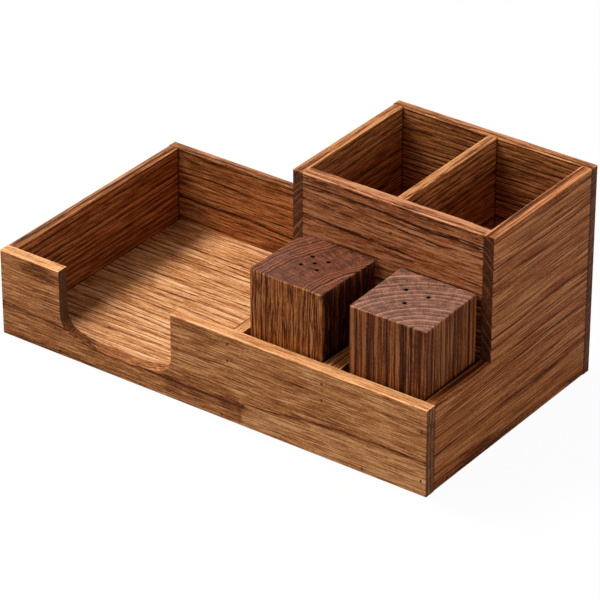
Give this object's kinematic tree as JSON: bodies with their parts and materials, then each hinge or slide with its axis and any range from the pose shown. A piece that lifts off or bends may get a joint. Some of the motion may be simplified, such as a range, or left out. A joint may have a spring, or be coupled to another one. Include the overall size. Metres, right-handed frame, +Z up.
{
  "type": "table caddy",
  "caption": "Wooden table caddy with a notched open tray for folded napkins, wells with loose shaker blocks, and a tall box parted into open cells.",
  "frame": {"origin": "middle of the footprint, on the surface that the caddy stands on", "axes": "+X to the right along the front panel, +Y from the front to the back, +Z up"},
  "size_m": [0.35, 0.194, 0.1565],
  "materials": {
    "front_wood": "oiled, honey brown, long grain along the board",
    "tray_wood": "oiled, light honey brown",
    "wall_wood": "oiled, mid reddish brown",
    "side_wood": "oiled, dark brown",
    "box_wood": "oiled, mid brown",
    "dark_block_wood": "oiled, dark brown, end grain on top",
    "light_block_wood": "oiled, paler end grain with arcing rings on top",
    "stopper_rubber": "matt soft rubber",
    "brad_steel": "dull dark heads punched below the face"
  },
  "bodies": {
    "caddy": {"base_panel": "tray_wood", "front_panel": "front_wood", "back_panel": "wall_wood", "left_side_panel": "wall_wood", "right_side_panel": "side_wood", "left_partition": "wall_wood", "middle_partition": "wall_wood", "box_left_side": "side_wood", "box_front_wall": "box_wood", "box_divider": "box_wood", "front_base_brads": "brad_steel", "front_corner_brads": "brad_steel", "left_partition_brads": "brad_steel", "middle_partition_brads": "brad_steel", "right_side_brads": "brad_steel", "left_side_brads": "brad_steel", "back_base_brads": "brad_steel", "back_corner_brads": "brad_steel", "divider_brads": "brad_steel"},
    "left_stopper": {"left_shaker_stopper": "stopper_rubber"},
    "left_shaker": {"left_shaker_block": "dark_block_wood"},
    "right_stopper": {"right_shaker_stopper": "stopper_rubber"},
    "right_shaker": {"right_shaker_block": "light_block_wood"}
  },
  "joints": [
    {"name": "left_shaker_lift", "type": "slide", "parent": "caddy", "child": "left_stopper", "axis": [0, 0, 1], "range_m": [0, 0.155]},
    {"name": "left_shaker_unplug", "type": "slide", "parent": "left_stopper", "child": "left_shaker", "axis": [0, 0, 1], "range_m": [0, 0.03]},
    {"name": "right_shaker_lift", "type": "slide", "parent": "caddy", "child": "right_stopper", "axis": [0, 0, 1], "range_m": [0, 0.155]},
    {"name": "right_shaker_unplug", "type": "slide", "parent": "right_stopper", "child": "right_shaker", "axis": [0, 0, 1], "range_m": [0, 0.03]}
  ]
}
